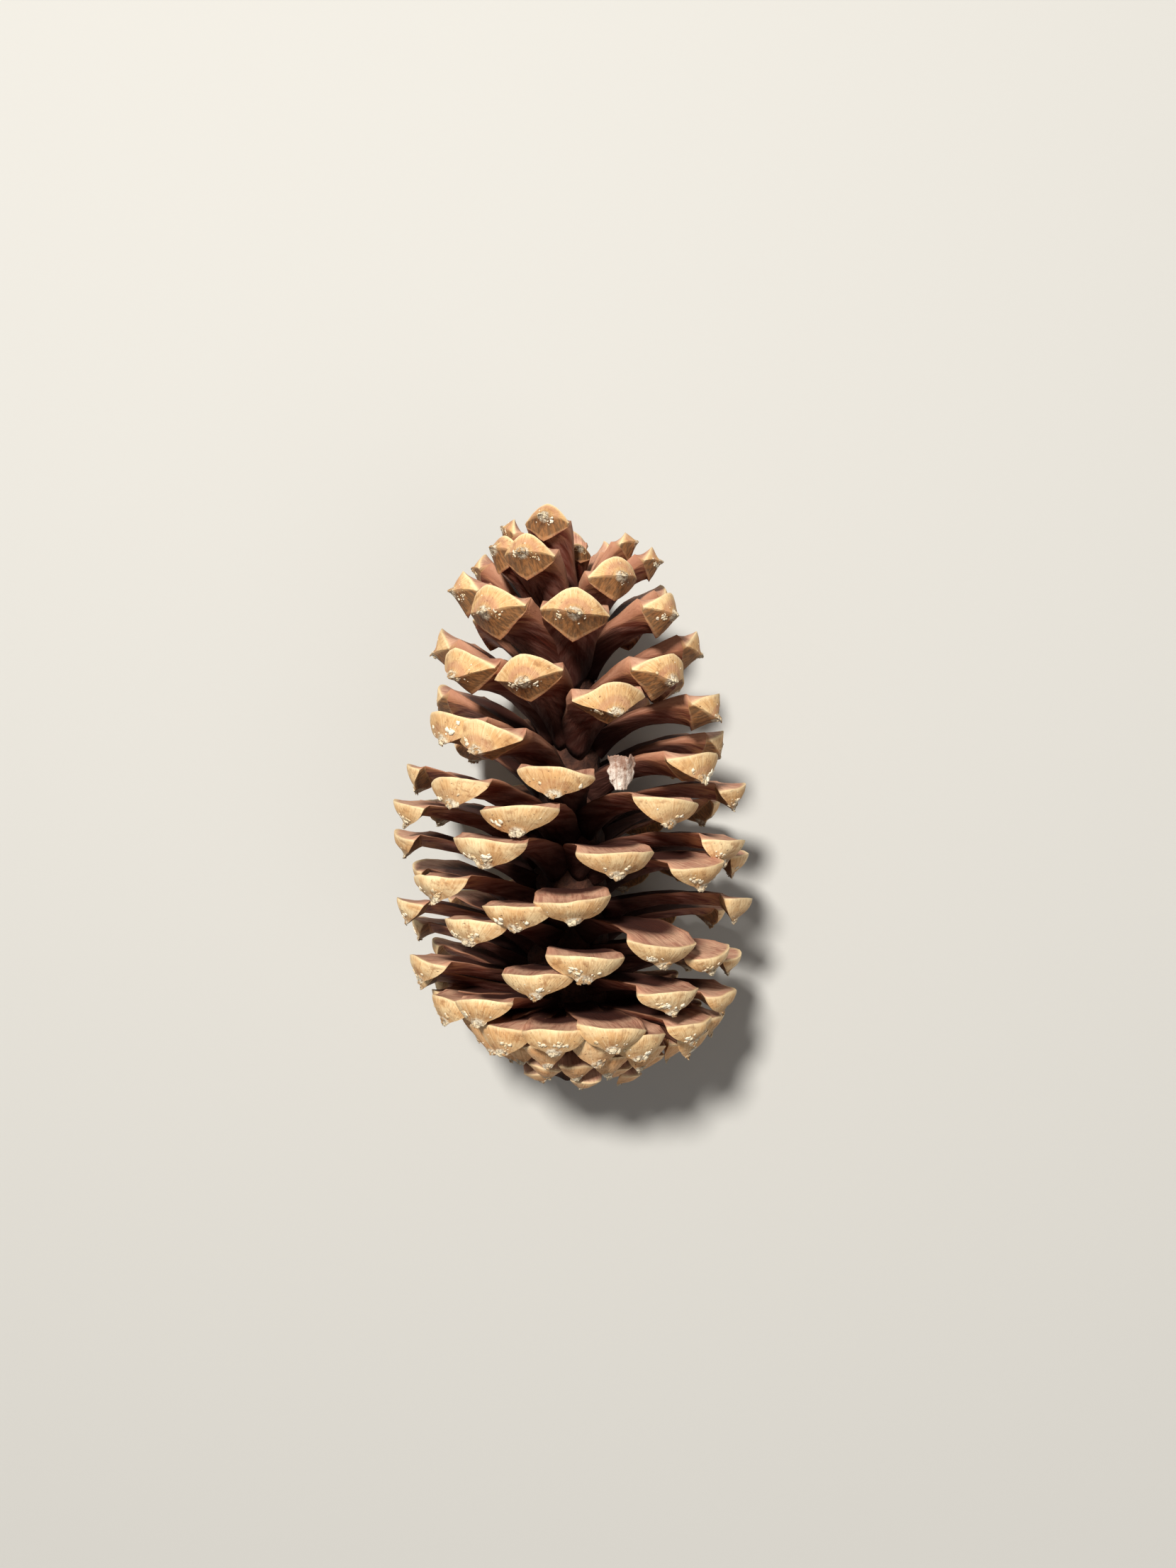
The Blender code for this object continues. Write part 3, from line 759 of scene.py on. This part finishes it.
def add_bead(points, faces, spot, outward, radius, draw):
    """An uneven flattened lump of resin, sunk a little into the wood."""
    turn = outward.to_track_quat("Z", "Y").to_matrix() @ Matrix.Rotation(draw.uniform(0, 2 * pi), 3, "Z")
    long, wide = radius * draw.uniform(*BEAD_LONG), radius * draw.uniform(*BEAD_WIDE)
    stretch = Vector((long, wide, radius * BEAD_SQUASH))
    seat = Vector((draw.uniform(0, 90), 0, 0))
    middle = spot + outward * radius * (BEAD_SQUASH - 2 * BEAD_SINK)
    first = len(points)
    for co in pearl_points:
        swell = 1
        for fine, strong in BEAD_LUMPS:
            swell += strong * noise.noise(co * fine + seat)
        local = Vector((co.x * stretch.x, co.y * stretch.y, co.z * stretch.z)) * swell
        points.append(middle + turn @ local)
    faces.extend([first + k for k in f] for f in pearl_faces)


beads, crusts = ([], []), ([], [])
for place, moved, marks in places_of_resin:
    draw = Random(SEED * 2000 + place["number"])
    size = place["width"] / HEAD_WIDTH
    knob = place["number"] > LAST_WITHOUT_KNOB
    closed = place["number"] < FIRST_WITH_CLUSTER
    for middle, most in CLUSTERS:
        if closed or draw.random() < NO_CLUSTER:
            continue
        across, down = middle[0] + draw.uniform(*CLUSTER_ACROSS), middle[1] + draw.uniform(*CLUSTER_DOWN)
        if knob:
            down += KNOB_LOWER
        for _ in range(draw.randint(1, most)):
            at = (across + draw.gauss(0, CLUSTER_SIZE), min(LOWEST_BEAD, down + draw.gauss(0, CLUSTER_SIZE)))
            radius = BEAD_RADIUS * size * (LEAST_BEAD + BEAD_SPREAD * draw.random() ** 2)
            radius *= KNOB_BEADS if knob else 1
            add_bead(*beads, *on_scale(moved, marks, *at), radius, draw)
    for _ in range(draw.randint(0, MOST_CRUMBS)):
        at = (draw.uniform(*CRUMB_ACROSS), draw.uniform(*CRUMB_DOWN))
        add_bead(*beads, *on_scale(moved, marks, *at), BEAD_RADIUS * draw.uniform(*CRUMB_SHARE), draw)
    for _ in range(CRUST_LUMPS):
        at = (draw.gauss(*CRUST_ACROSS), 1 + draw.gauss(*CRUST_DOWN))
        radius = CRUST_RADIUS * size * draw.uniform(*CRUST_SHARE)
        add_bead(*crusts, *on_scale(moved, marks, *at), radius, draw)

resin, t, shader = start_material("dried_resin", 0.42, 0.45)
place_in = t.node("ShaderNodeTexCoord", output="Object")
cloud = t.noise(place_in, 420.0, 3.0)
mealy = t.noise(place_in, 4200.0, 4.0, 0.65)
milk = t.mix(cloud.between(0.40, 0.62), tone(246, 236, 214), tone(222, 196, 154))
wire(t, shader["Base Color"], t.mix(mealy.between(0.54, 0.70) * 0.5, milk, tone(186, 148, 104)))
wire(t, shader["Normal"], t.bump(mealy, 0.0002, 0.8))

umbo_crust, t, shader = start_material("umbo_crust", 0.8, 0.2)
place_in = t.node("ShaderNodeTexCoord", output="Object")
cloud = t.noise(place_in, 520.0, 3.0)
mealy = t.noise(place_in, 3200.0, 5.0, 0.7)
chalk = t.mix(cloud.between(0.42, 0.60), tone(232, 216, 186), tone(186, 148, 106))
wire(t, shader["Base Color"], t.mix(mealy.between(0.50, 0.68) * 0.7, chalk, tone(104, 72, 46)))
wire(t, shader["Normal"], t.bump(mealy, 0.0003, 0.9))

# No lump goes through the surface that the cone lies on.
for name, (points, faces), finish in (("resin_beads", beads, resin), ("umbo_crusts", crusts, umbo_crust)):
    mesh = bpy.data.meshes.new(name)
    mesh.from_pydata([(x, y, max(z, 0.0)) for x, y, z in points], [], faces)
    mesh.materials.append(finish)
    lumps = bpy.data.objects.new(name, mesh)
    keep_smooth(lumps)


# The woody axis: the dark core of rough wood that all scales grew from, in one piece with them, with the
# broken stalk at the base. It is seen only deep between the scales.
# Its outline, as heights up the cone and radii.
AXIS_PROFILE = (
    (0.0020, 0.0), (0.0022, 0.0026), (0.0044, 0.0032), (0.0062, 0.0068), (0.0130, 0.0078), (0.0330, 0.0062),
    (0.0600, 0.0049), (0.0780, 0.0036), (0.0880, 0.0022), (0.0930, 0.0),
)
AXIS_SIDES = 48
AXIS_RINGS = 90
# Lumps of the wood, how many a metre and how high, and the radius under which they fade.
AXIS_LUMPS = (500, 0.0006)
AXIS_SMOOTH_BELOW = 0.002

core = bmesh.new()
heights = np.linspace(AXIS_PROFILE[0][0], AXIS_PROFILE[-1][0], AXIS_RINGS)
rings = []
for height in heights:
    radius = float(np.interp(height, *zip(*AXIS_PROFILE)))
    ring = []
    for k in range(AXIS_SIDES):
        angle = 2 * pi * k / AXIS_SIDES
        spot_on = Vector((radius * sin(angle), height, radius * cos(angle)))
        share = min(1.0, radius / AXIS_SMOOTH_BELOW)
        spot_on += noise.noise_vector(spot_on * AXIS_LUMPS[0]) * AXIS_LUMPS[1] * share
        ring.append(core.verts.new(lay_down @ spot_on))
    rings.append(ring)
for low, high in zip(rings, rings[1:]):
    for k in range(AXIS_SIDES):
        n = (k + 1) % AXIS_SIDES
        core.faces.new((low[k], low[n], high[n], high[k]))
core.faces.new(rings[0])
core.faces.new(rings[-1])
bmesh.ops.recalc_face_normals(core, faces=core.faces)
mesh = bpy.data.meshes.new("core")
core.to_mesh(mesh)
core.free()
core_wood, t, shader = start_material("core_wood", 0.85)
place_in = t.node("ShaderNodeTexCoord", output="Object")
rough = t.noise(place_in, 500.0, 5.0, 0.65)
wire(t, shader["Base Color"], t.mix(rough.between(0.35, 0.7), tone(44, 24, 17), tone(86, 52, 38)))
wire(t, shader["Normal"], t.bump(rough, 0.0006))
mesh.materials.append(core_wood)
core_piece = bpy.data.objects.new("core", mesh)
keep_smooth(core_piece)
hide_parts("pine_cone")


# The seed wing: a thin curved papery flake, whole at its lower end and torn along the top, left standing
# on a scale right of the middle after its seed was shed.
WING_WIDTH = 0.0046
WING_LENGTH = 0.0052
WING_AZIMUTH = 22.0
WING_REACH = 0.0215
WING_HEIGHT = 0.0518
WING_THICKNESS = 0.0002
WING_ROWS = 26
WING_COLUMNS = 20
# Its width at the lower end as a share of the whole, and how soon it is widest.
WING_FOOT = 0.44
WING_SWELL = (1.15, 0.62)
# The torn end: how far it reaches into the length, and the small raggedness of each column.
TEAR_DEPTH = 0.09
TEAR_RAGGED = 0.25
# How the flake bows across and along, its unevenness, and the fray of its two sides.
BOW_ACROSS = 0.0007
BOW_ALONG = 0.0006
BOW_UNEVEN = 0.0004
FRAY = 0.30

ragged = Random(SEED + 1)
tear = []
for column in range(WING_COLUMNS + 1):
    torn = noise.noise(Vector((column * 0.27, 4, 2))) * 2
    tear.append(torn + ragged.uniform(-TEAR_RAGGED, TEAR_RAGGED))
flake = bmesh.new()
sheet = []
for row in range(WING_ROWS + 1):
    along = row / WING_ROWS
    swell = sin(pi * min(1.0, along * WING_SWELL[0]) * WING_SWELL[1])
    half = WING_WIDTH / 2 * (WING_FOOT + (1 - WING_FOOT) * swell)
    line = []
    for column in range(WING_COLUMNS + 1):
        across = 2 * column / WING_COLUMNS - 1
        lift = WING_LENGTH * along + tear[column] * WING_LENGTH * TEAR_DEPTH * along ** 3
        bow = BOW_ACROSS * (1 - across * across) + BOW_ALONG * along * along
        bow += noise.noise(Vector((across * 2, along * 3, 5))) * BOW_UNEVEN
        fray = 1 + FRAY * noise.noise(Vector((along * 5, across * 0.6, 7))) * abs(across)
        line.append(flake.verts.new((across * half * fray, WING_HEIGHT + lift, WING_REACH + bow)))
    sheet.append(line)
for low, high in zip(sheet, sheet[1:]):
    for c in range(WING_COLUMNS):
        flake.faces.new((low[c], low[c + 1], high[c + 1], high[c]))
mesh = bpy.data.meshes.new("papery_wing")
flake.to_mesh(mesh)
flake.free()
# How far up the wing each point is, for the stain at its upper end.
upwards = mesh.attributes.new("upwards", "FLOAT_VECTOR", "POINT")
for spot, value in zip(mesh.vertices, upwards.data):
    value.vector = ((spot.co.y - WING_HEIGHT) / WING_LENGTH, 0, 0)
mesh.transform(lay_down @ Matrix.Rotation(radians(WING_AZIMUTH), 4, "Y"))
wing_paper, t, shader = start_material("wing_paper_skin", 0.6)
place_in = t.node("ShaderNodeTexCoord", output="Object")
mottle = t.noise(place_in, 1100.0, 5.0, 0.7)
veins = t.noise(t.stretch(place_in, (2600.0, 260.0, 700.0)), 1.0, 4.0, 0.6)
upwards = t.attribute("upwards").split()[0]
paper = t.mix(veins.between(0.46, 0.60) * 0.6, tone(226, 214, 202), tone(160, 126, 106))
stain = (upwards * 0.55 + mottle * 1.3).between(0.78, 1.20)
paper = t.mix(stain * 0.8, paper, tone(132, 90, 68))
wire(t, shader["Base Color"], t.mix(mottle.between(0.58, 0.68) * 0.7, paper, tone(92, 54, 38)))
wire(t, shader["Normal"], t.bump(mottle, 0.0003))
mesh.materials.append(wing_paper)
wing = bpy.data.objects.new("papery_wing", mesh)
keep_smooth(wing)
thicken = wing.modifiers.new("thickness", "SOLIDIFY")
thicken.thickness = WING_THICKNESS
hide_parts("seed_wing")


# Plain pale floor, one warm light from the apex's side, soft fill, and the camera straight above the cone,
# as near as the photograph was taken.
FLOOR_SIZE = 3.0
AIM = (0, 0, 0.03)
KEY_SPOT = (-0.14, 0.36, 0.92)
KEY_SIZE = 0.14
KEY_POWER = 14.5
KEY_COLOUR = (1.0, 0.97, 0.91)
FILL_SPOT = (0.6, -0.5, 0.9)
FILL_SIZE = 0.9
FILL_POWER = 2.2
ROOM_POWER = 0.13
SOFT_COLOUR = (1.0, 0.97, 0.93)

floor_mesh = bpy.data.meshes.new("floor")
edge_at = FLOOR_SIZE / 2
floor_mesh.from_pydata(
    [(-edge_at, -edge_at, 0), (edge_at, -edge_at, 0), (edge_at, edge_at, 0), (-edge_at, edge_at, 0)],
    [], [(0, 1, 2, 3)],
)
floor_paint, t, shader = start_material("pale_floor", 0.8)
shader["Base Color"].default_value = tone(188, 187, 184)
floor_mesh.materials.append(floor_paint)
floor = bpy.data.objects.new("floor", floor_mesh)
bpy.context.scene.collection.objects.link(floor)


def area_light(name, spot, size, power, colour):
    """A round lamp that looks at the cone."""
    made = bpy.data.lights.new(name, "AREA")
    made.shape = "DISK"
    made.size = size
    made.energy = power
    made.color = colour
    lamp = bpy.data.objects.new(name, made)
    lamp.location = spot
    lamp.rotation_euler = (Vector(AIM) - Vector(spot)).to_track_quat("-Z", "Y").to_euler()
    bpy.context.scene.collection.objects.link(lamp)


area_light("key_light", KEY_SPOT, KEY_SIZE, KEY_POWER, KEY_COLOUR)
area_light("fill_light", FILL_SPOT, FILL_SIZE, FILL_POWER, SOFT_COLOUR)
world = bpy.data.worlds.new("soft_room")
world.use_nodes = True
background = world.node_tree.nodes["Background"].inputs
background["Color"].default_value = (*SOFT_COLOUR, 1.0)
background["Strength"].default_value = ROOM_POWER
bpy.context.scene.world = world

lens = bpy.data.cameras.new("camera")
lens.sensor_width = SENSOR
lens.lens = LENS
camera = bpy.data.objects.new("camera", lens)
camera.matrix_world = (
    lay_down
    @ Matrix.Translation((CAMERA_SIDE, CAMERA_HEIGHT_ON_AXIS, CAMERA_OVER_AXIS))
    @ Matrix.Rotation(radians(CAMERA_TURN), 4, "Z")
)
bpy.context.scene.collection.objects.link(camera)
bpy.context.scene.camera = camera

bpy.context.scene.view_settings.view_transform = "Standard"
